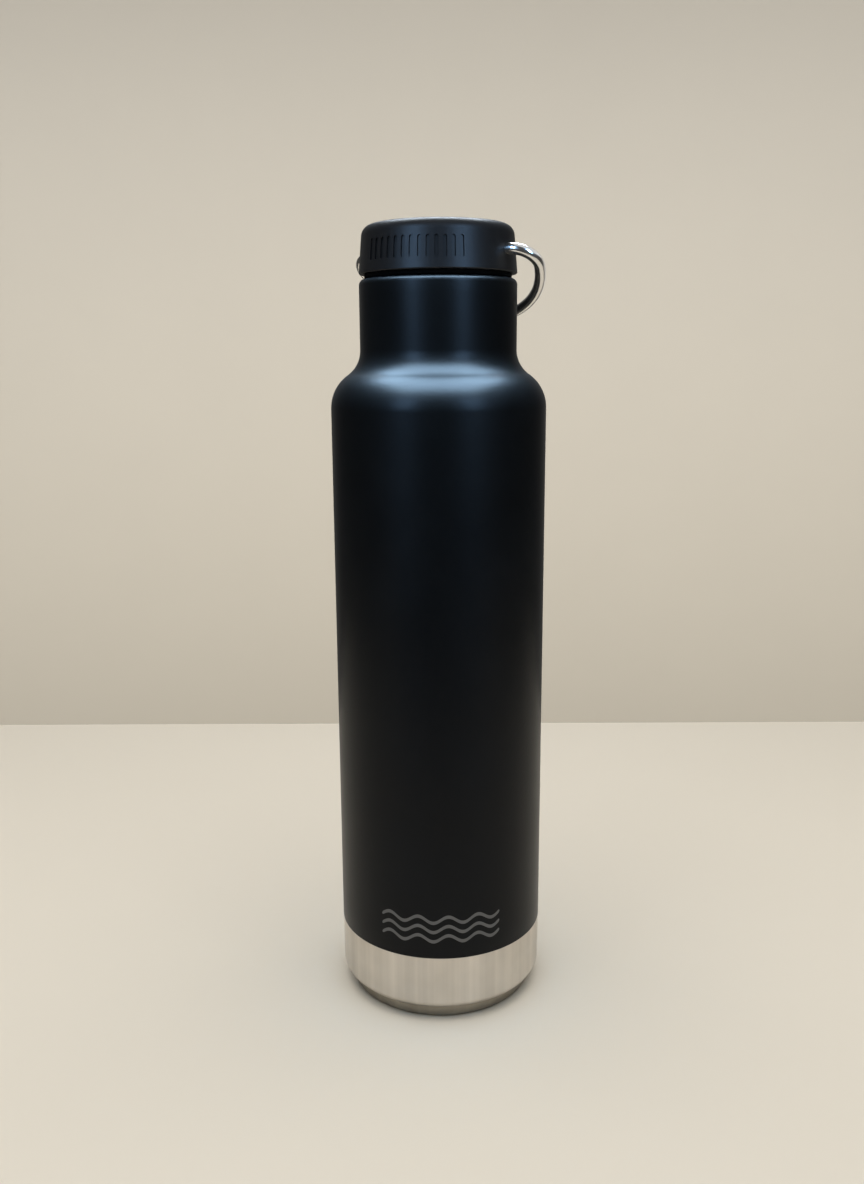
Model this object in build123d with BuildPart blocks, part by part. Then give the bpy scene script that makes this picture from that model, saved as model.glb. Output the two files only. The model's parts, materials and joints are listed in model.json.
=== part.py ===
from build123d import *
import os
from math import asin, atan, cos, degrees, radians, sin

# Double-wall vacuum bottle with a screw cap and a swivelling wire carry loop.
# Millimetres, +Z up. The origin is the centre of the foot ring, on the surface that the bottle
# stands on, and the front of the bottle faces -Y.

# --- outer shell ---
SHEET = 0.4            # thickness of the drawn steel
BODY_R = 36.5          # outer radius of the steel body
NECK_R = 26.3          # outer radius of the steel neck
RIM_Z = 253.3          # height of the steel rim
RIM_R = 2.0            # radius of the rim's outer corner
SHOULDER_Z = 211.0     # height at which the body starts to turn in
SHOULDER_SLOPE = 54.0  # degrees by which the middle of a shoulder leans in
SHOULDER_CONVEX = 13.4
SHOULDER_CONCAVE = 10.0
ROLL_R = 3.2           # radius rolled into the lower edge of the body
SEAM_R = BODY_R - ROLL_R
SEAM_Z = 4.65          # height of the rolled edge, where the base cup is welded in
COAT = 0.15            # thickness of the powder coat
COAT_Z = 24.6          # lower edge of the powder coat
COAT_LAP = 0.2         # how far the coat laps onto the flat of the rim

# --- base cup ---
FOOT_OUT = 32.8
FOOT_IN = 29.4
FLOOR_Z = 3.4          # underside of the recessed floor
FOOT_BEND = 0.8        # radii pressed into the cup, from its edge to the pocket
FLOOR_BEND = 1.0
POCKET_BEND = 0.7
POCKET_CORNER = 0.1
POCKET_R = 13.0        # pocket that holds the seal cover
POCKET_Z = 5.4
EVACUATION_R = 1.6     # hole through which the air is drawn out
BEAD_R = 2.6           # solder bead that closes the hole
BEAD_DROP = 0.6
COVER_SHEET = 0.4      # disc that hides the bead
COVER_DEPTH = 0.75

# --- getter, on the floor of the base cup ---
GETTER_X = 21.0
GETTER_R = 4.0
GETTER_HEIGHT = 1.8
CLIP_SHEET = 0.3
CLIP_WIDTH = 3.0
CLIP_FOOT = 3.0

# --- liner ---
LINER_R = 30.2         # outer radius of the liner's body
LINER_NECK_R = 24.0    # outer radius of the liner's neck
LINER_SHOULDER_Z = 212.0
LINER_CONVEX = 7.5
LINER_CONCAVE = 6.8
LINER_JOIN_Z = 22.0    # weld between the liner's wall and its bottom
LINER_FLOOR_Z = 15.4   # underside of the liner's bottom
LINER_CORNER = 4.0

# --- screw thread, right-handed, one start ---
LEAD = 6.0
RIDGE_ROOT = 2.2       # width of a ridge where it leaves its wall
RIDGE_CREST = 1.2
RIDGE_SINK = 0.25      # how far a ridge's root is sunk in its wall
NECK_RIDGE = 1.3       # height of the neck's ridge
PLUG_RIDGE = 1.5       # height of the plug's ridge
NECK_RIDGE_Z = 240.9   # height at which the neck's ridge starts
NECK_TURNS = 1.25
PLUG_TURNS = 1.5
FLANK_SHIFT = 1.0      # a closed cap draws the plug's ridge up towards the neck's
PLUG_RIDGE_Z = NECK_RIDGE_Z - LEAD / 2 + FLANK_SHIFT

# --- cap ---
CAP_Z = 254.9          # underside of the cap's skirt
CAP_TOP_Z = 270.6
CAP_LOW_R = 26.45      # radius of the drafted side, carried down to the underside
CAP_HIGH_R = 25.15     # radius of the drafted side, carried up to the top
CAP_LOW_ROUND = 0.4
CAP_TOP_ROUND = 3.8
CAP_WALL = 2.2
CAP_BORE_R = 23.4      # inside of the cap above the plug's flange
CAP_BORE_ROUND = 3.4
FLANGE_R = 24.8
FLANGE_Z = 255.1       # underside of the plug's flange
FLANGE_TOP_Z = 257.0
PLUG_R = 21.4
PLUG_WALL = 1.8
PLUG_Z = 236.3         # underside of the plug
PLUG_ROUND = 1.2
PLUG_EDGE = 0.1        # radius of the plug's other edges
FOAM_GAP = 0.1         # slack around and under the foam block
GASKET_GAP = 0.05      # free height under and over the seal ring
GASKET_IN = 21.5
GASKET_OUT = 24.6
GASKET_ROUND = 0.4

# --- grip slots in the front of the cap ---
SLOT_COUNT = 13
SLOT_STEP = 6.0        # degrees between two slots
SLOT_LENGTH = 6.8
SLOT_WIDTH = 1.3
SLOT_DEPTH = 0.5
SLOT_Z = 261.8
SLOT_YAW = 19.0        # degrees by which the row of slots is turned to the left of the front

# --- carry loop, drawn in its own plane: u along the pivot, v away from it ---
WIRE_R = 1.85
LOOP_HALF_WIDTH = 34.1
LOOP_CORNER = 7.2
LOOP_REACH = 35.4
LOOP_END = 20.8        # distance of a wire end from the axis of the bottle
PIVOT_Z = 261.8
LOOP_YAW = 31.0        # degrees by which the right-hand pivot is turned to the front
LOOP_HANG = 35.5       # degrees by which the loop hangs below level, behind the neck
PIVOT_CLEARANCE = 0.07
BOSS_R = 4.2
BOSS_SINK = 0.8        # how far a boss is sunk in the wall of the cap

os.makedirs("parts", exist_ok=True)


def save(part, name):
    """Label a finished piece and write it to a file of the same name."""
    part.label = name
    export_step(part, f"parts/{name}.step")


def wall_line(start_z, top_z, body_r, neck_r, shoulder_z, convex, concave):
    """Draw body, shoulder and neck as one tangent line, and return its last part."""
    slope = radians(SHOULDER_SLOPE)
    lean_length = (body_r - neck_r - (convex + concave) * (1 - cos(slope))) / sin(slope)
    side = Line((body_r, start_z), (body_r, shoulder_z))
    crown = JernArc(side @ 1, side % 1, convex, SHOULDER_SLOPE)
    lean = Line(crown @ 1, crown @ 1 + (crown % 1) * lean_length)
    hollow = JernArc(lean @ 1, lean % 1, concave, -SHOULDER_SLOPE)
    return Line(hollow @ 1, (neck_r, top_z))


def outer_line(start_z, rim_end_r):
    """Draw the outside of the shell from start_z up and over the rim."""
    neck = wall_line(start_z, RIM_Z - RIM_R, BODY_R, NECK_R, SHOULDER_Z, SHOULDER_CONVEX, SHOULDER_CONCAVE)
    corner = JernArc(neck @ 1, neck % 1, RIM_R, 90)
    Line(corner @ 1, (rim_end_r, RIM_Z))


def ridge(radius, start_z, turns, height):
    """Add a helical ridge on a wall of this radius. A negative height points inwards."""
    sink = -RIDGE_SINK if height > 0 else RIDGE_SINK
    with BuildLine():
        path = Helix(pitch=LEAD, height=turns * LEAD, radius=radius, center=(0, 0, start_z))
    with BuildSketch(Plane(origin=path @ 0, x_dir=(1, 0, 0), z_dir=path % 0)) as section:
        with BuildLine():
            Polyline(
                (sink, RIDGE_ROOT / 2),
                (0, RIDGE_ROOT / 2),
                (height, RIDGE_CREST / 2),
                (height, -RIDGE_CREST / 2),
                (0, -RIDGE_ROOT / 2),
                (sink, -RIDGE_ROOT / 2),
                close=True,
            )
        make_face()
    sweep(section.sketch, path=path, is_frenet=True)


# Outer wall: one drawn tube with its shoulder, neck and rolled lower edge.
with BuildPart() as outer_wall:
    with BuildSketch(Plane.XZ):
        with BuildLine():
            roll = JernArc((SEAM_R, SEAM_Z), (1, 0), ROLL_R, 90)
            outer_line((roll @ 1).Y, LINER_NECK_R)
            offset(amount=SHEET, side=Side.LEFT)
        make_face()
    revolve(axis=Axis.Z)
save(outer_wall.part, "outer_wall")

# Powder coat: a skin on the outer wall, from the bare band at the foot to the rim.
with BuildPart() as powder_coat:
    with BuildSketch(Plane.XZ):
        with BuildLine():
            outer_line(COAT_Z, NECK_R - RIM_R - COAT_LAP)
            offset(amount=COAT, side=Side.RIGHT)
        make_face()
    revolve(axis=Axis.Z)
save(powder_coat.part, "powder_coat")

# Base cup: foot ring, recessed floor, and the pocket around the evacuation hole.
with BuildPart() as base_cup:
    with BuildSketch(Plane.XZ):
        with BuildLine():
            FilletPolyline(
                (SEAM_R, SEAM_Z + SHEET),
                (SEAM_R, SEAM_Z - SHEET),
                (FOOT_OUT, 0),
                (FOOT_IN, 0),
                (FOOT_IN - SHEET, FLOOR_Z),
                (POCKET_R, FLOOR_Z),
                (POCKET_R, POCKET_Z),
                (EVACUATION_R, POCKET_Z),
                radius=(FOOT_BEND, FOOT_BEND, FOOT_BEND, FLOOR_BEND, POCKET_BEND, POCKET_CORNER),
            )
            offset(amount=SHEET, side=Side.RIGHT)
        make_face()
    revolve(axis=Axis.Z)
save(base_cup.part, "base_cup")

# Vacuum seal: a bead of solder in the evacuation hole.
bead_ball_r = (BEAD_R**2 + BEAD_DROP**2) / (2 * BEAD_DROP)
bead_turn = degrees(asin(BEAD_R / bead_ball_r))
with BuildPart() as vacuum_seal:
    with BuildSketch(Plane.XZ):
        with BuildLine():
            Polyline(
                (0, POCKET_Z - BEAD_DROP),
                (0, POCKET_Z + SHEET),
                (EVACUATION_R, POCKET_Z + SHEET),
                (EVACUATION_R, POCKET_Z),
                (BEAD_R, POCKET_Z),
            )
            JernArc((0, POCKET_Z - BEAD_DROP), (1, 0), bead_ball_r, bead_turn)
        make_face()
    revolve(axis=Axis.Z)
save(vacuum_seal.part, "vacuum_seal")

# Seal cover: a plain disc pressed into the pocket, over the bead.
with BuildPart() as seal_cover:
    with BuildSketch(Plane.XY.offset(FLOOR_Z + COVER_DEPTH)):
        Circle(POCKET_R)
    extrude(amount=COVER_SHEET)
save(seal_cover.part, "seal_cover")

# Getter: a pellet that soaks up the last gas in the vacuum space, on the floor of the base cup.
getter_z = FLOOR_Z + SHEET
with BuildPart() as getter:
    with BuildSketch(Plane((GETTER_X, 0, getter_z))):
        Circle(GETTER_R)
    extrude(amount=GETTER_HEIGHT)
save(getter.part, "getter")

# Getter clip: a spot-welded strap that holds the pellet down.
with BuildPart() as getter_clip:
    with BuildSketch(Plane.YZ.offset(GETTER_X - CLIP_WIDTH / 2)):
        with BuildLine():
            Polyline(
                (-GETTER_R - CLIP_FOOT, getter_z),
                (-GETTER_R, getter_z),
                (-GETTER_R, getter_z + GETTER_HEIGHT),
                (GETTER_R, getter_z + GETTER_HEIGHT),
                (GETTER_R, getter_z),
                (GETTER_R + CLIP_FOOT, getter_z),
            )
            offset(amount=CLIP_SHEET, side=Side.LEFT, kind=Kind.INTERSECTION)
        make_face()
    extrude(amount=CLIP_WIDTH)
save(getter_clip.part, "getter_clip")

# Liner wall: the inner bottle's side, shoulder and neck, with the thread rolled into the neck.
with BuildPart() as liner_wall:
    with BuildSketch(Plane.XZ):
        with BuildLine():
            wall_line(
                LINER_JOIN_Z, RIM_Z, LINER_R, LINER_NECK_R, LINER_SHOULDER_Z, LINER_CONVEX, LINER_CONCAVE
            )
            offset(amount=SHEET, side=Side.LEFT)
        make_face()
    revolve(axis=Axis.Z)
    ridge(LINER_NECK_R - SHEET, NECK_RIDGE_Z, NECK_TURNS, -NECK_RIDGE)
save(liner_wall.part, "liner_wall")

# Liner bottom: a shallow pan welded to the liner wall.
with BuildPart() as liner_bottom:
    with BuildSketch(Plane.XZ):
        with BuildLine():
            outside = FilletPolyline(
                (LINER_R, LINER_JOIN_Z), (LINER_R, LINER_FLOOR_Z), (0, LINER_FLOOR_Z), radius=LINER_CORNER
            )
            inside = FilletPolyline(
                (LINER_R - SHEET, LINER_JOIN_Z),
                (LINER_R - SHEET, LINER_FLOOR_Z + SHEET),
                (0, LINER_FLOOR_Z + SHEET),
                radius=LINER_CORNER - SHEET,
            )
            Line(outside @ 0, inside @ 0)
            Line(outside @ 1, inside @ 1)
        make_face()
    revolve(axis=Axis.Z)
save(liner_bottom.part, "liner_bottom")

# The pivot's plane holds the loop at rest: x along the pivot, y along the hanging loop.
pivot = Vector(cos(radians(LOOP_YAW)), -sin(radians(LOOP_YAW)), 0)
back = Vector(sin(radians(LOOP_YAW)), cos(radians(LOOP_YAW)), 0)
hang = back * cos(radians(LOOP_HANG)) - Vector(0, 0, sin(radians(LOOP_HANG)))
loop_plane = Plane(origin=(0, 0, PIVOT_Z), x_dir=pivot, z_dir=pivot.cross(hang))

# Cap shell: a drafted cup with a boss for each wire end and grip slots on its front.
taper = (CAP_LOW_R - CAP_HIGH_R) / (CAP_TOP_Z - CAP_Z)
draft = degrees(atan(taper))
slot_face_r = CAP_LOW_R - (SLOT_Z - CAP_Z) * taper
with BuildPart() as cap_shell:
    with BuildSketch(Plane.XZ):
        with BuildLine():
            skin = FilletPolyline(
                (FLANGE_R, CAP_Z),
                (CAP_LOW_R, CAP_Z),
                (CAP_HIGH_R, CAP_TOP_Z),
                (0, CAP_TOP_Z),
                radius=(CAP_LOW_ROUND, CAP_TOP_ROUND),
            )
            bore = FilletPolyline(
                (CAP_BORE_R, FLANGE_TOP_Z),
                (CAP_BORE_R, CAP_TOP_Z - CAP_WALL),
                (0, CAP_TOP_Z - CAP_WALL),
                radius=CAP_BORE_ROUND,
            )
            Line(skin @ 1, bore @ 1)
            Polyline(skin @ 0, (FLANGE_R, FLANGE_TOP_Z), bore @ 0)
        make_face()
    revolve(axis=Axis.Z)
    for side in (1, -1):
        pivot_plane = Plane(origin=(0, 0, PIVOT_Z), z_dir=pivot * side)
        with BuildSketch(pivot_plane.offset(LOOP_END)):
            Circle(BOSS_R)
        extrude(amount=CAP_BORE_R - LOOP_END + BOSS_SINK)
        with BuildSketch(pivot_plane):
            Circle(WIRE_R + PIVOT_CLEARANCE)
        extrude(amount=CAP_LOW_R, mode=Mode.SUBTRACT)
    for i in range(SLOT_COUNT):
        angle = radians((i - (SLOT_COUNT - 1) / 2) * SLOT_STEP - SLOT_YAW - 90)
        out = Vector(cos(angle), sin(angle), 0) * cos(radians(draft)) + Vector(0, 0, sin(radians(draft)))
        spot = Vector(cos(angle) * slot_face_r, sin(angle) * slot_face_r, SLOT_Z)
        across = Vector(-sin(angle), cos(angle), 0)
        with BuildSketch(Plane(origin=spot - out * SLOT_DEPTH, x_dir=across.cross(out) * -1, z_dir=out)):
            SlotOverall(SLOT_LENGTH, SLOT_WIDTH)
        extrude(amount=SLOT_DEPTH * 2, mode=Mode.SUBTRACT)
save(cap_shell.part, "cap_shell")

# Cap plug: a hollow threaded stopper whose flange is welded under the cap shell.
with BuildPart() as cap_plug:
    with BuildSketch(Plane.XZ):
        with BuildLine():
            FilletPolyline(
                (0, PLUG_Z),
                (PLUG_R, PLUG_Z),
                (PLUG_R, FLANGE_Z),
                (FLANGE_R, FLANGE_Z),
                (FLANGE_R, FLANGE_TOP_Z),
                (PLUG_R - PLUG_WALL, FLANGE_TOP_Z),
                (PLUG_R - PLUG_WALL, PLUG_Z + PLUG_WALL),
                (0, PLUG_Z + PLUG_WALL),
                radius=(PLUG_ROUND, PLUG_EDGE, PLUG_EDGE, PLUG_EDGE, PLUG_EDGE, PLUG_EDGE),
            )
            Line((0, PLUG_Z + PLUG_WALL), (0, PLUG_Z))
        make_face()
    revolve(axis=Axis.Z)
    ridge(PLUG_R, PLUG_RIDGE_Z, PLUG_TURNS, PLUG_RIDGE)
save(cap_plug.part, "cap_plug")

# Cap insulation: a block of foam that fills the plug and the cap.
with BuildPart() as cap_insulation:
    with BuildSketch(Plane.XY.offset(PLUG_Z + PLUG_WALL + FOAM_GAP)):
        Circle(PLUG_R - PLUG_WALL - FOAM_GAP)
    extrude(amount=CAP_TOP_Z - CAP_WALL - PLUG_Z - PLUG_WALL - FOAM_GAP)
save(cap_insulation.part, "cap_insulation")

# Cap gasket: the seal ring between the plug's flange and the rim of the neck.
with BuildPart() as cap_gasket:
    with BuildSketch(Plane.XZ):
        with Locations(((GASKET_IN + GASKET_OUT) / 2, (RIM_Z + COAT + FLANGE_Z) / 2)):
            RectangleRounded(
                GASKET_OUT - GASKET_IN, FLANGE_Z - RIM_Z - COAT - 2 * GASKET_GAP, GASKET_ROUND
            )
    revolve(axis=Axis.Z)
save(cap_gasket.part, "cap_gasket")

# Carry loop: one sprung wire, two straight ends, two tight corners and a wide bow between them.
corner_u = LOOP_HALF_WIDTH - LOOP_CORNER
corner_end = 90 - 2 * degrees(atan((LOOP_REACH - 2 * LOOP_CORNER) / corner_u))
bow_r = LOOP_CORNER + corner_u / cos(radians(corner_end))
with BuildPart() as carry_loop:
    with BuildLine(loop_plane) as wire:
        end = Line((LOOP_END, 0), (corner_u, 0))
        corner = JernArc(end @ 1, end % 1, LOOP_CORNER, 90 + corner_end)
        JernArc(corner @ 1, corner % 1, bow_r, 90 - corner_end)
        mirror(about=Plane(origin=loop_plane.origin, z_dir=pivot))
    with BuildSketch(Plane(origin=end @ 0, z_dir=pivot)):
        Circle(WIRE_R)
    sweep(path=wire.wires()[0])
save(carry_loop.part, "carry_loop")
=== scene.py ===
import json
from math import atan, atan2, cos, degrees, hypot, pi, radians, sin, tan

import bmesh
import bpy
from mathutils import Matrix, Vector


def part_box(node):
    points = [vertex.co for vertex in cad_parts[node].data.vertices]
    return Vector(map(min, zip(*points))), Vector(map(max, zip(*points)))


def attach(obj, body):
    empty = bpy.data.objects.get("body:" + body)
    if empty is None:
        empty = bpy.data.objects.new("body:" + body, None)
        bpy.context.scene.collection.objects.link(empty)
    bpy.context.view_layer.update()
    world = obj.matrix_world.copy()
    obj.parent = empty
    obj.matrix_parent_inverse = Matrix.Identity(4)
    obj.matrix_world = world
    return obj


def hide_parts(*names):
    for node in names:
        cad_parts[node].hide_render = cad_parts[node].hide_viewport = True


# A double-wall vacuum bottle: black powder coat, bare brushed band, screw cap and wire loop.
# Metres, +Z up, front facing -Y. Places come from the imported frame, and the few sizes that its
# boxes can't give are named here.

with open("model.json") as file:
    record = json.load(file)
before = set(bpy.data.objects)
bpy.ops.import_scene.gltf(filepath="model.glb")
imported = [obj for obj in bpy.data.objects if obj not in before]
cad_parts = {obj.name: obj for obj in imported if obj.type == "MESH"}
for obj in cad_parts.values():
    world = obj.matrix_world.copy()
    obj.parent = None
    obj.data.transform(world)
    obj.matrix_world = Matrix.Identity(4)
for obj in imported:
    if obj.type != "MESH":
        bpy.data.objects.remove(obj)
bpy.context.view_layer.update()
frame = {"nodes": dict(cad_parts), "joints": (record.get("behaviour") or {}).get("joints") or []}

MM = 0.001

# Sizes of the shell, as in the part's source. SHOULDER_SLOPE is in degrees from upright.
SHEET = 0.4 * MM
NECK_R = 26.3 * MM
RIM_ROUND = 2.0 * MM
SHOULDER_Z = 211.0 * MM
SHOULDER_SLOPE = 54.0
SHOULDER_CONVEX = 13.4 * MM
SHOULDER_CONCAVE = 10.0 * MM
ROLL_R = 3.2 * MM
LINER_NECK_R = 24.0 * MM

# Outline of the base cup's underside, and the radii pressed into it.
FOOT_OUT = 32.8 * MM
FOOT_IN = 29.4 * MM
FLOOR_Z = 3.4 * MM
POCKET_R = 13.0 * MM
POCKET_Z = 5.4 * MM
EVACUATION_R = 1.6 * MM
FOOT_BEND = 0.8 * MM
FLOOR_BEND = 1.0 * MM
POCKET_BEND = 0.7 * MM
POCKET_CORNER = 0.1 * MM

# Sizes of the loop, in its own plane, whose first direction runs along the pivot.
LOOP_HALF_WIDTH = 34.1 * MM
LOOP_CORNER = 7.2 * MM
LOOP_REACH = 35.4 * MM
LOOP_END = 20.8 * MM
LOOP_HANG = radians(35.5)
WIRE_R = 1.85 * MM

# The printed emblem, low on the front: plain waves, stacked.
EMBLEM_Z = 35.7 * MM
EMBLEM_LINES = 3
EMBLEM_GAP = 3.5 * MM
EMBLEM_LINE_WIDTH = 1.25 * MM
EMBLEM_HALF_LENGTH = 21.0 * MM
EMBLEM_SWELL = 1.15 * MM
EMBLEM_PERIOD = 10.5 * MM
EMBLEM_SOFT_EDGE = 0.05 * MM

# Fineness of the meshes. Edges with a larger angle than a crease, in degrees, stay crisp.
LATHE_STEPS = 192
WIRE_SIDES = 28
BEND_STEPS = 7
MERGE_DISTANCE = 1e-7
CREASE = 40.0
CAD_CREASE = 35.0
NO_CREASE = 180.0

# The stage: a table top, and a round wall that stands far away all round.
TABLE_FRONT = -0.32
TABLE_BACK = 0.281
TABLE_HALF_WIDTH = 0.45
TABLE_THICKNESS = 0.02
TABLE_COLOUR = (0.74, 0.685, 0.585)
WALL_R = 1.7
WALL_LOW = -0.9
WALL_HIGH = 1.5
WALL_STEPS = 96
WALL_COLOUR = (0.60, 0.57, 0.515)
WORLD_COLOUR = (1.0, 0.95, 0.86)
WORLD_STRENGTH = 0.065

# The camera, fitted to the photo's outline. Angles in radians, lens and sensor in millimetres.
CAMERA_DISTANCE = 374.8 * MM
CAMERA_HEIGHT = 227.6 * MM
CAMERA_PITCH = 0.2131
CAMERA_ROLL = 0.0059
CAMERA_YAW = -0.0070
CAMERA_LENS = 32.84
CAMERA_SENSOR = 36.0
CAMERA_CLIP_START = 0.01

# Colours of light.
WHITE = (1.0, 1.0, 1.0)
COLD_WHITE = (0.95, 0.97, 1.0)
SKY = (0.8, 0.9, 1.0)
COOL = (0.48, 0.73, 1.0)
BLUE = (0.36, 0.62, 1.0)
WARM_WHITE = (1.0, 0.95, 0.88)
WARM = (1.0, 0.94, 0.84)
CREAM = (1.0, 0.92, 0.76)

# Lamps that light matt surfaces and don't show in reflections.
# Each has its place, the point it faces, its width and length, its watts and its colour.
FILLS = {
    "overhead": ((0, -0.1, 1.0), (0, -0.1, 0), (1.2, 1.0), 12.4, WHITE),
    "back fill": ((0, 0.42, 0.60), (0, 1.7, 0.6), (1.6, 0.4), 10.0, WHITE),
    "low back fill": ((0, 0.34, -0.20), (0, 1.7, -0.1), (1.6, 0.3), 9.5, CREAM),
}

# Lamps that only show in reflections, in place of the room round the bottle.
GLOWS = {
    "strip": ((0, -0.05, 0.95), (0, -0.05, 0), (1.05, 0.88), 116.0, COOL),
    "rim": ((0, 0.5, 0.90), (0, 0, 0.25), (0.60, 0.2), 8.0, SKY),
    "back glow": ((0, 1.2, 0.2), (0, 0, 0.2), (1.8, 1.2), 0.8, WARM),
    "front left": ((-0.58, -0.80, 0.62), (0, 0, 0.22), (0.26, 0.60), 7.0, BLUE),
    "front right": ((0.58, -0.80, 0.62), (0, 0, 0.22), (0.26, 0.60), 7.0, BLUE),
    "loop card": ((0.5, 1.1, 0.45), (0, 0, 0.25), (2.2, 1.4), 4.5, WARM_WHITE),
    "loop top card": ((0.35, -0.05, 0.85), (0, 0, 0.25), (1.2, 1.2), 3.2, COLD_WHITE),
}

wall_low, wall_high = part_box("outer_wall")
coat_low, coat_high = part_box("powder_coat")
BODY_R = wall_high.x
COAT_R = coat_high.x
COAT = COAT_R - BODY_R
SEAM_R = BODY_R - ROLL_R
SEAM_Z = wall_low.z
RIM_Z = wall_high.z


# --- shapes ---

class Pen:
    """Draws an outline of straight runs and tangent arcs, and keeps its heading at each point."""

    def __init__(self, x, y, heading):
        self.x, self.y, self.heading = x, y, radians(heading)
        self.points = [(x, y, self.heading)]

    def run(self, length, steps=1):
        for _ in range(steps):
            self.x += cos(self.heading) * length / steps
            self.y += sin(self.heading) * length / steps
            self.points.append((self.x, self.y, self.heading))
        return self

    def turn(self, radius, angle, steps):
        """Follow an arc through an angle in degrees, to the left if it's positive."""
        half = radians(angle) / steps / 2
        chord = 2 * radius * sin(abs(half))
        for _ in range(steps):
            self.heading += half
            self.x += cos(self.heading) * chord
            self.y += sin(self.heading) * chord
            self.heading += half
            self.points.append((self.x, self.y, self.heading))
        return self

    def line(self):
        return [(x, y) for x, y, _ in self.points]

    def beside(self, distance):
        """The same line, moved to the left by distance."""
        return [(x - sin(a) * distance, y + cos(a) * distance) for x, y, a in self.points]


def finish_mesh(name, bm, crease=CREASE):
    """Turn a bmesh into a smooth-shaded object whose hard edges stay crisp."""
    bmesh.ops.remove_doubles(bm, verts=bm.verts, dist=MERGE_DISTANCE)
    bmesh.ops.recalc_face_normals(bm, faces=bm.faces)
    mesh = bpy.data.meshes.new(name)
    bm.to_mesh(mesh)
    bm.free()
    mesh.shade_smooth()
    mesh.set_sharp_from_angle(angle=radians(crease))
    piece = bpy.data.objects.new(name, mesh)
    bpy.context.scene.collection.objects.link(piece)
    return piece


def lathe(name, outline, steps=LATHE_STEPS, crease=CREASE, closed=True):
    """Turn an outline of (radius, height) points round Z."""
    bm = bmesh.new()
    angles = [2 * pi * i / steps for i in range(steps)]
    rings = [[bm.verts.new((r * cos(a), r * sin(a), z)) for a in angles] for r, z in outline]
    following = rings[1:] + rings[:1] if closed else rings[1:]
    for low, high in zip(rings, following):
        for i in range(steps):
            j = (i + 1) % steps
            bm.faces.new((low[i], low[j], high[j], high[i]))
    return finish_mesh(name, bm, crease)


def shoulder(pen, convex, concave):
    """Turn in from the body to the neck by two opposite arcs with a short straight run between."""
    slope = radians(SHOULDER_SLOPE)
    arcs_across = (SHOULDER_CONVEX + SHOULDER_CONCAVE) * (1 - cos(slope))
    lean = (BODY_R - NECK_R - arcs_across) / sin(slope)
    pen.turn(convex, SHOULDER_SLOPE, steps=24).run(lean, steps=3)
    pen.turn(concave, -SHOULDER_SLOPE, steps=24)


def bent(corners, radii):
    """Follow straight runs from corner to corner, with a radius at each of the inner corners."""
    headings = [atan2(b[1] - a[1], b[0] - a[0]) for a, b in zip(corners, corners[1:])]
    lengths = [hypot(b[0] - a[0], b[1] - a[1]) for a, b in zip(corners, corners[1:])]
    pen = Pen(*corners[0], degrees(headings[0]))
    used = 0.0
    for i, radius in enumerate(radii):
        angle = (headings[i + 1] - headings[i] + pi) % (2 * pi) - pi
        cut = radius * tan(abs(angle) / 2)
        pen.run(lengths[i] - used - cut).turn(radius, degrees(angle), BEND_STEPS)
        used = cut
    return pen.run(lengths[-1] - used)


def make_base_cup():
    corners = (
        (SEAM_R, SEAM_Z + SHEET),
        (SEAM_R, SEAM_Z - SHEET),
        (FOOT_OUT, 0),
        (FOOT_IN, 0),
        (FOOT_IN - SHEET, FLOOR_Z),
        (POCKET_R, FLOOR_Z),
        (POCKET_R, POCKET_Z),
        (EVACUATION_R, POCKET_Z),
    )
    radii = (FOOT_BEND, FOOT_BEND, FOOT_BEND, FLOOR_BEND, POCKET_BEND, POCKET_CORNER)
    pen = bent(corners, radii)
    return lathe("base_cup_pressed", pen.line() + pen.beside(-SHEET)[::-1])


def make_outer_wall():
    pen = Pen(SEAM_R, SEAM_Z, 0).turn(ROLL_R, 90, steps=16)
    pen.run(coat_low.z - pen.y, steps=6)
    pen.run(SHOULDER_Z - pen.y, steps=16)
    shoulder(pen, SHOULDER_CONVEX, SHOULDER_CONCAVE)
    pen.run(RIM_Z - RIM_ROUND - pen.y, steps=4).turn(RIM_ROUND, 90, steps=10)
    pen.run(pen.x - LINER_NECK_R)
    return lathe("outer_wall_turned", pen.line() + pen.beside(SHEET)[::-1])


def make_powder_coat():
    """A closed skin on the outer wall, with a rounded lower edge."""
    edge = COAT * 0.8
    pen = Pen(BODY_R, coat_low.z, 0).run(COAT - edge).turn(edge, 90, steps=5)
    pen.run(SHOULDER_Z - pen.y, steps=24)
    shoulder(pen, SHOULDER_CONVEX + COAT, SHOULDER_CONCAVE - COAT)
    pen.run(RIM_Z - RIM_ROUND - pen.y, steps=6).turn(RIM_ROUND + COAT, 90, steps=12)
    inner = Pen(BODY_R, coat_low.z, 90).run(SHOULDER_Z - coat_low.z, steps=24)
    shoulder(inner, SHOULDER_CONVEX, SHOULDER_CONCAVE)
    inner.run(RIM_Z - RIM_ROUND - inner.y, steps=6).turn(RIM_ROUND, 90, steps=12)
    return lathe("powder_coat_skin", pen.line() + inner.line()[:0:-1])


def sweep_wire(name, centres, radius):
    """Sweep a round wire along points in one plane, with flat ends."""
    bm = bmesh.new()
    across = (centres[1] - centres[0]).cross(centres[len(centres) // 2] - centres[0]).normalized()
    last = len(centres) - 1
    spokes = [2 * pi * k / WIRE_SIDES for k in range(WIRE_SIDES)]
    rings = []
    for i, centre in enumerate(centres):
        along = (centres[min(i + 1, last)] - centres[max(i - 1, 0)]).normalized()
        side = along.cross(across)
        around = [across * cos(s) + side * sin(s) for s in spokes]
        rings.append([bm.verts.new(centre + spoke * radius) for spoke in around])
    for low, high in zip(rings, rings[1:]):
        for k in range(WIRE_SIDES):
            j = (k + 1) % WIRE_SIDES
            bm.faces.new((low[k], low[j], high[j], high[k]))
    bm.faces.new(rings[0][::-1])
    bm.faces.new(rings[-1])
    return finish_mesh(name, bm)


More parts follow.
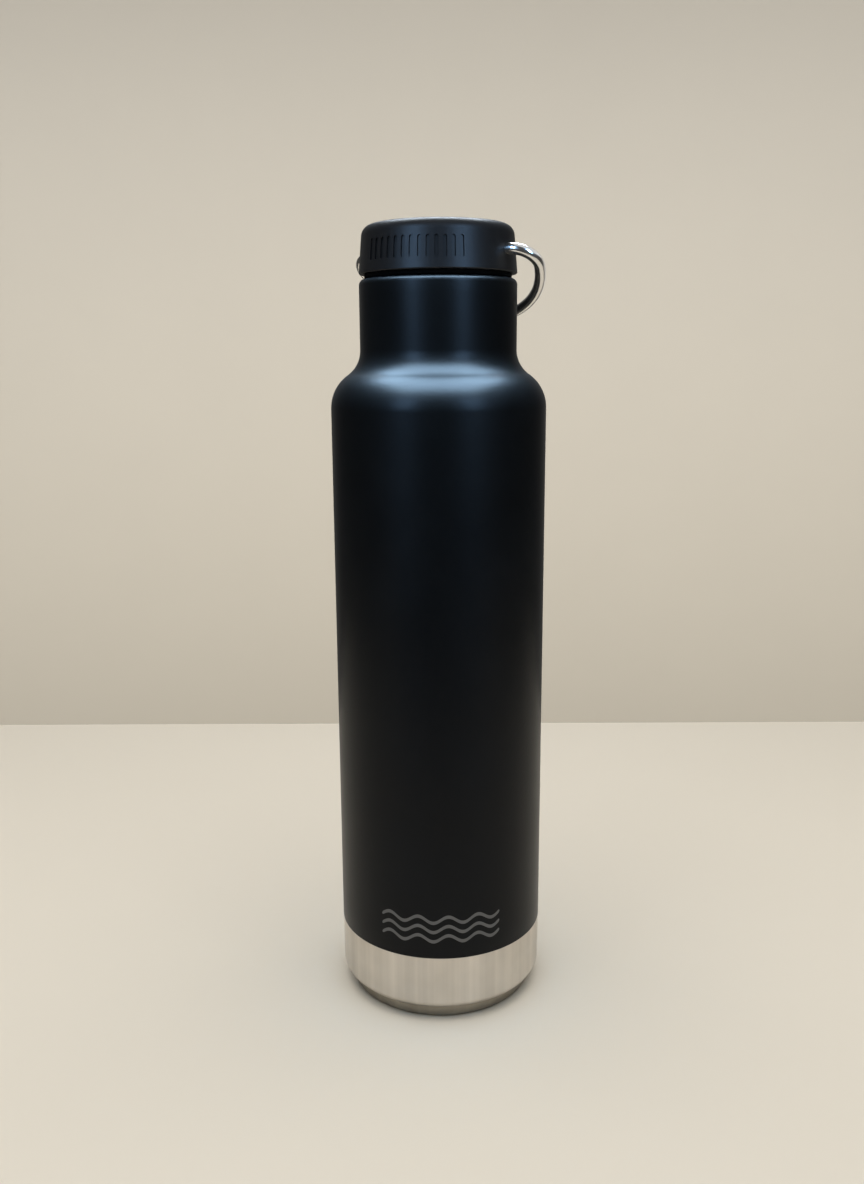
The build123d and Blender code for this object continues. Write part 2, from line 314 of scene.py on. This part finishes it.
def make_carry_loop():
    """Straight ends on the pivot, two tight corners, and a wide bow tangent to both."""
    swing = next(j for j in frame["joints"] if j["name"] == "loop_swing")
    pivot = Vector(swing["axis"]).normalized()
    up = Vector((0, 0, 1))
    hang = up.cross(pivot) * cos(LOOP_HANG) - up * sin(LOOP_HANG)
    straight = LOOP_HALF_WIDTH - LOOP_CORNER
    bend = pi / 2 - 2 * atan((LOOP_REACH - 2 * LOOP_CORNER) / straight)
    bow_r = LOOP_CORNER + straight / cos(bend)
    corner_turn = 90 + degrees(bend)
    pen = Pen(LOOP_END, 0, 0).run(straight - LOOP_END, steps=4)
    pen.turn(LOOP_CORNER, corner_turn, steps=32)
    pen.turn(bow_r, 360 - 2 * corner_turn, steps=96)
    pen.turn(LOOP_CORNER, corner_turn, steps=32)
    pen.run(straight - LOOP_END, steps=4)
    centre = Vector(swing["pos_m"])
    points = [centre + pivot * u + hang * v for u, v in pen.line()]
    return sweep_wire("carry_loop_wire", points, WIRE_R)


# --- materials ---

# Sockets of a colour mix node, which share their names with its other kinds.
MIX_FACTOR, MIX_A, MIX_B, MIX_RESULT = 0, 6, 7, 2

# Most values of a noise lie in this range.
MOST_NOISE = (0.3, 0.7)


class Shader:
    """A node material with short ways to add and link nodes."""

    def __init__(self, name):
        self.material = bpy.data.materials.new(name)
        self.material.use_nodes = True
        self.tree = self.material.node_tree
        self.bsdf = self.tree.nodes["Principled BSDF"]
        self.place = self.node("ShaderNodeTexCoord").outputs["Object"]

    def node(self, kind, **settings):
        made = self.tree.nodes.new(kind)
        for key, value in settings.items():
            setattr(made, key, value)
        return made

    def link(self, source, socket):
        self.tree.links.new(source, socket)

    def put(self, socket, value):
        """Set a socket to a value, or link it to another node's output."""
        if isinstance(value, bpy.types.NodeSocket):
            self.link(value, socket)
        else:
            socket.default_value = value

    def set(self, **values):
        """Put values into the surface's sockets."""
        for name, value in values.items():
            self.put(self.bsdf.inputs[name.replace("_", " ")], value)

    def math(self, operation, a, b=0.0, c=0.0):
        made = self.node("ShaderNodeMath", operation=operation)
        for socket, value in zip(made.inputs, (a, b, c)):
            self.put(socket, value)
        return made.outputs[0]

    def combine(self, x, y=0.0):
        made = self.node("ShaderNodeCombineXYZ")
        self.put(made.inputs[0], x)
        self.put(made.inputs[1], y)
        return made.outputs[0]

    def scaled(self, scale):
        made = self.node("ShaderNodeMapping")
        self.link(self.place, made.inputs["Vector"])
        made.inputs["Scale"].default_value = scale
        return made.outputs[0]

    def noise(self, scale, detail, rough=0.55, vector=None):
        made = self.node("ShaderNodeTexNoise")
        self.link(vector or self.place, made.inputs["Vector"])
        made.inputs["Scale"].default_value = scale
        made.inputs["Detail"].default_value = detail
        made.inputs["Roughness"].default_value = rough
        return made.outputs["Fac"]

    def remap(self, value, source, target):
        """Carry a value from one (low, high) range to another."""
        made = self.node("ShaderNodeMapRange")
        made.inputs["From Min"].default_value, made.inputs["From Max"].default_value = source
        made.inputs["To Min"].default_value, made.inputs["To Max"].default_value = target
        self.link(value, made.inputs["Value"])
        return made.outputs["Result"]

    def mix(self, factor, a, b):
        made = self.node("ShaderNodeMix", data_type="RGBA")
        self.put(made.inputs[MIX_FACTOR], factor)
        self.put(made.inputs[MIX_A], a)
        self.put(made.inputs[MIX_B], b)
        return made.outputs[MIX_RESULT]

    def bump(self, height, distance, normal=None):
        made = self.node("ShaderNodeBump")
        made.inputs["Strength"].default_value = 1.0
        made.inputs["Distance"].default_value = distance
        self.link(height, made.inputs["Height"])
        if normal:
            self.link(normal, made.inputs["Normal"])
        return made.outputs["Normal"]

    def angle_and_height(self):
        """Angle round the bottle's axis, from the front, and height."""
        split = self.node("ShaderNodeSeparateXYZ")
        self.link(self.place, split.inputs[0])
        x, y, z = split.outputs
        return self.math("ARCTAN2", x, self.math("MULTIPLY", y, -1.0)), z


def opaque(colour, brightness=1.0):
    return (*(c * brightness for c in colour), 1)


def paint(material, piece):
    piece.data.materials.clear()
    piece.data.materials.append(material)


def emblem_mask(s):
    """1 on the emblem's lines and 0 beside them: the distance to each wave, cut at its width."""
    angle, z = s.angle_and_height()
    along = s.math("MULTIPLY", angle, COAT_R)
    wave = s.math("SINE", s.math("MULTIPLY", along, 2 * pi / EMBLEM_PERIOD))
    middle = s.math("MULTIPLY_ADD", wave, EMBLEM_SWELL, EMBLEM_Z)
    past_end = s.math("SUBTRACT", s.math("ABSOLUTE", along), EMBLEM_HALF_LENGTH)
    past_end = s.math("POWER", s.math("MAXIMUM", past_end, 0.0), 2.0)
    half_width = EMBLEM_LINE_WIDTH / 2
    edge = (half_width - EMBLEM_SOFT_EDGE, half_width + EMBLEM_SOFT_EDGE)
    mask = None
    for i in range(EMBLEM_LINES):
        offset = (i - (EMBLEM_LINES - 1) / 2) * EMBLEM_GAP
        rise = s.math("SUBTRACT", s.math("SUBTRACT", z, middle), offset)
        distance = s.math("SQRT", s.math("ADD", s.math("POWER", rise, 2.0), past_end))
        inside = s.remap(distance, edge, (1.0, 0.0))
        mask = inside if mask is None else s.math("MAXIMUM", mask, inside)
    return mask


def coat_material():
    """Powder coat: almost black, slightly blue, with fine grain over a soft orange peel."""
    darker, lighter = (0.0009, 0.0013, 0.0022), (0.0014, 0.0020, 0.0030)
    print_grey = (0.155, 0.158, 0.16)
    print_roughness = 0.10
    s = Shader("black powder coat")
    mask = emblem_mask(s)
    cloud = s.noise(scale=35.0, detail=4.0)
    grain = s.noise(scale=2600.0, detail=2.0)
    peel = s.noise(scale=900.0, detail=2.0)
    black = s.mix(cloud, opaque(darker), opaque(lighter))
    s.set(Base_Color=s.mix(mask, black, opaque(print_grey)))
    roughness = s.remap(cloud, MOST_NOISE, (0.34, 0.39))
    s.set(Roughness=s.math("MULTIPLY_ADD", mask, print_roughness, roughness))
    s.bsdf.inputs["Specular IOR Level"].default_value = 0.16
    s.set(Normal=s.bump(grain, 0.012 * MM, normal=s.bump(peel, 0.02 * MM)))
    return s.material


def steel_material(name, colour, roughness, lines_per_metre):
    """Brushed steel with fine lines round the axis, and soft upright bands of painted reflection
    in its colour.
    """
    darkest, brightest = 0.8, 1.12
    painted_reflection_share, cloud_share = 0.6, 0.4
    change_round = 1.2
    roughness_spread = 0.06
    s = Shader(name)
    angle, z = s.angle_and_height()
    round_axis = s.math("MULTIPLY", angle, change_round)
    along_axis = s.math("MULTIPLY", z, lines_per_metre)
    lines = s.noise(scale=1.0, detail=4.0, rough=0.7, vector=s.combine(round_axis, along_axis))
    cloud = s.noise(scale=45.0, detail=3.0)
    # Painted reflection: soft upright bands round the axis, mixed with random cloud, make the
    # colour lighter and darker.
    painted_reflection_bands = s.noise(scale=5.0, detail=3.0, rough=0.6, vector=s.combine(angle))
    reflection_and_tone = s.math("MULTIPLY_ADD", painted_reflection_bands, painted_reflection_share, s.math("MULTIPLY", cloud, cloud_share))
    reflection_and_tone = s.remap(reflection_and_tone, (0.35, 0.65), (0.0, 1.0))
    s.set(Base_Color=s.mix(reflection_and_tone, opaque(colour, darkest), opaque(colour, brightest)))
    rough_range = (roughness - roughness_spread, roughness + roughness_spread)
    s.set(Roughness=s.remap(lines, (0.25, 0.75), rough_range))
    s.set(Metallic=1.0)
    s.bsdf.inputs["Anisotropic"].default_value = 0.55
    tangent = s.node("ShaderNodeTangent", direction_type="RADIAL", axis="Z")
    s.link(tangent.outputs[0], s.bsdf.inputs["Tangent"])
    s.set(Normal=s.bump(lines, 0.006 * MM))
    return s.material


def polished_material():
    """Polished wire with a slight haze and fine scratches."""
    dull, clear = (0.74, 0.73, 0.71), (0.84, 0.83, 0.81)
    scratch_stretch = (60.0, 4.0, 60.0)
    s = Shader("polished steel wire")
    haze = s.noise(scale=260.0, detail=3.0)
    scratch = s.noise(scale=60.0, detail=2.0, vector=s.scaled(scratch_stretch))
    s.set(Base_Color=s.mix(haze, opaque(dull), opaque(clear)))
    s.set(Roughness=s.remap(haze, MOST_NOISE, (0.16, 0.24)))
    s.set(Metallic=1.0)
    s.set(Normal=s.bump(scratch, 0.002 * MM))
    return s.material


def plastic_material(name, colour, roughness, grain_size, grain_height, gloss=0.3):
    """Moulded plastic with a fine spark-eroded grain, also used for the other dull solids."""
    darkest = 0.85
    rough_range = (roughness - 0.03, roughness + 0.05)
    s = Shader(name)
    cloud = s.noise(scale=60.0, detail=3.0)
    grain = s.noise(scale=1.0 / grain_size, detail=2.0)
    s.set(Base_Color=s.mix(cloud, opaque(colour, darkest), opaque(colour)))
    s.set(Roughness=s.remap(grain, MOST_NOISE, rough_range))
    s.bsdf.inputs["Specular IOR Level"].default_value = gloss
    s.set(Normal=s.bump(grain, grain_height))
    return s.material


def plain_material(name, colour):
    """A matt, nearly even colour for the stage."""
    brightest = 1.03
    s = Shader(name)
    cloud = s.noise(scale=6.0, detail=2.0)
    s.set(Base_Color=s.mix(cloud, opaque(colour), opaque(colour, brightest)))
    s.set(Roughness=0.7)
    s.bsdf.inputs["Specular IOR Level"].default_value = 0.15
    return s.material


# --- the bottle ---

def dress(piece, body, node, material):
    """A detailed piece stands for a CAD node."""
    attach(piece, body)
    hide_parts(node)
    paint(material, piece)


def smooth_node(node, material):
    """A CAD node that stays gets smooth shading and its own material."""
    piece = frame["nodes"][node]
    piece.data.shade_smooth()
    piece.data.set_sharp_from_angle(angle=radians(CAD_CREASE))
    paint(material, piece)


# Steels: colour, roughness, brushed lines to the metre.
band_steel = steel_material("brushed steel", (0.655, 0.61, 0.555), 0.33, 9000.0)
# The foot and seal cover take a darker, browner copy of the steel: painted shade where the foot
# meets the table.
shaded_foot_steel = steel_material("foot steel with painted shade", (0.40, 0.36, 0.30), 0.45, 4000.0)
liner_steel = steel_material("spun liner steel", (0.55, 0.54, 0.52), 0.28, 5000.0)

# Dull solids: colour, roughness, size and height of the grain.
cap_plastic = plastic_material(
    "moulded cap plastic", (0.014, 0.016, 0.020), 0.42, 0.22 * MM, 0.012 * MM)
plug_plastic = plastic_material(
    "moulded plug plastic", (0.022, 0.022, 0.024), 0.38, 0.4 * MM, 0.006 * MM)
silicone = plastic_material(
    "silicone", (0.004, 0.004, 0.004), 0.75, 0.5 * MM, 0.004 * MM, gloss=0.06)
foam = plastic_material("foam", (0.7, 0.68, 0.62), 0.9, 0.8 * MM, 0.1 * MM)
solder = plastic_material("solder", (0.35, 0.35, 0.36), 0.4, 1.5 * MM, 0.05 * MM)
getter_alloy = plastic_material("getter alloy", (0.08, 0.08, 0.085), 0.6, 0.2 * MM, 0.03 * MM)

dress(make_outer_wall(), "bottle", "outer_wall", band_steel)
coat_skin = make_powder_coat()
dress(coat_skin, "bottle", "powder_coat", coat_material())
loop_wire = make_carry_loop()
dress(loop_wire, "loop", "carry_loop", polished_material())
dress(make_base_cup(), "bottle", "base_cup", shaded_foot_steel)

for node_name, node_material in (
    ("seal_cover", shaded_foot_steel),
    ("liner_wall", liner_steel),
    ("liner_bottom", liner_steel),
    ("getter_clip", liner_steel),
    ("cap_shell", cap_plastic),
    ("cap_plug", plug_plastic),
    ("cap_gasket", silicone),
    ("cap_insulation", foam),
    ("vacuum_seal", solder),
    ("getter", getter_alloy),
):
    smooth_node(node_name, node_material)


# --- studio ---

def make_stage():
    """A plain pale table top with a plain wall far behind it, all round."""
    bm = bmesh.new()
    bmesh.ops.create_cube(bm, size=1.0)
    for v in bm.verts:
        x, y, z = v.co
        v.co = (
            x * 2 * TABLE_HALF_WIDTH,
            TABLE_FRONT + (y + 0.5) * (TABLE_BACK - TABLE_FRONT),
            (z - 0.5) * TABLE_THICKNESS,
        )
    table = finish_mesh("table", bm)
    upright = Pen(WALL_R, WALL_LOW, 90).run(WALL_HIGH - WALL_LOW, steps=8)
    wall = lathe("wall", upright.line(), WALL_STEPS, NO_CREASE, closed=False)
    for piece, colour in ((table, TABLE_COLOUR), (wall, WALL_COLOUR)):
        paint(plain_material("plain " + piece.name, colour), piece)
    wall.visible_glossy = False


def make_light(name, place, aim, size, power, colour, glossy=True, diffuse=True):
    data = bpy.data.lights.new(name, "AREA")
    data.shape = "RECTANGLE"
    data.size, data.size_y = size
    data.energy = power
    data.color = colour
    lamp = bpy.data.objects.new(name, data)
    lamp.location = place
    lamp.rotation_euler = (Vector(aim) - Vector(place)).to_track_quat("-Z", "Y").to_euler()
    lamp.visible_camera = False
    lamp.visible_glossy = glossy
    lamp.visible_diffuse = diffuse
    bpy.context.scene.collection.objects.link(lamp)
    return lamp


def light_only(lamp, piece):
    """Let a lamp light one piece and nothing else."""
    lit = bpy.data.collections.new("lit by the " + lamp.name)
    lit.objects.link(piece)
    lamp.light_linking.receiver_collection = lit


def make_camera():
    """It stands in front, level with the top of the shoulder, and looks slightly down."""
    pitch, roll, yaw = CAMERA_PITCH, CAMERA_ROLL, CAMERA_YAW
    forward = Vector((sin(yaw) * cos(pitch), cos(yaw) * cos(pitch), -sin(pitch)))
    right = Vector((cos(yaw), -sin(yaw), 0))
    down = forward.cross(right)
    rolled_right = right * cos(roll) + down * sin(roll)
    rolled_down = down * cos(roll) - right * sin(roll)
    data = bpy.data.cameras.new("camera")
    data.lens = CAMERA_LENS
    data.sensor_width = CAMERA_SENSOR
    data.sensor_fit = "AUTO"
    data.clip_start = CAMERA_CLIP_START
    camera = bpy.data.objects.new("camera", data)
    axes = Matrix((rolled_right, -rolled_down, -forward)).transposed().to_4x4()
    camera.matrix_world = Matrix.Translation((0, -CAMERA_DISTANCE, CAMERA_HEIGHT)) @ axes
    bpy.context.scene.collection.objects.link(camera)
    bpy.context.scene.camera = camera


def make_world():
    world = bpy.data.worlds.new("studio")
    world.use_nodes = True
    background = world.node_tree.nodes["Background"]
    background.inputs["Color"].default_value = opaque(WORLD_COLOUR)
    background.inputs["Strength"].default_value = WORLD_STRENGTH
    bpy.context.scene.world = world


make_stage()
make_world()
make_camera()
for lamp_name, settings in FILLS.items():
    make_light(lamp_name, *settings, glossy=False)
glows = {
    lamp_name: make_light(lamp_name, *settings, diffuse=False)
    for lamp_name, settings in GLOWS.items()
}
light_only(glows["strip"], coat_skin)
light_only(glows["loop card"], loop_wire)
light_only(glows["loop top card"], loop_wire)

bpy.context.scene.view_settings.view_transform = "Standard"
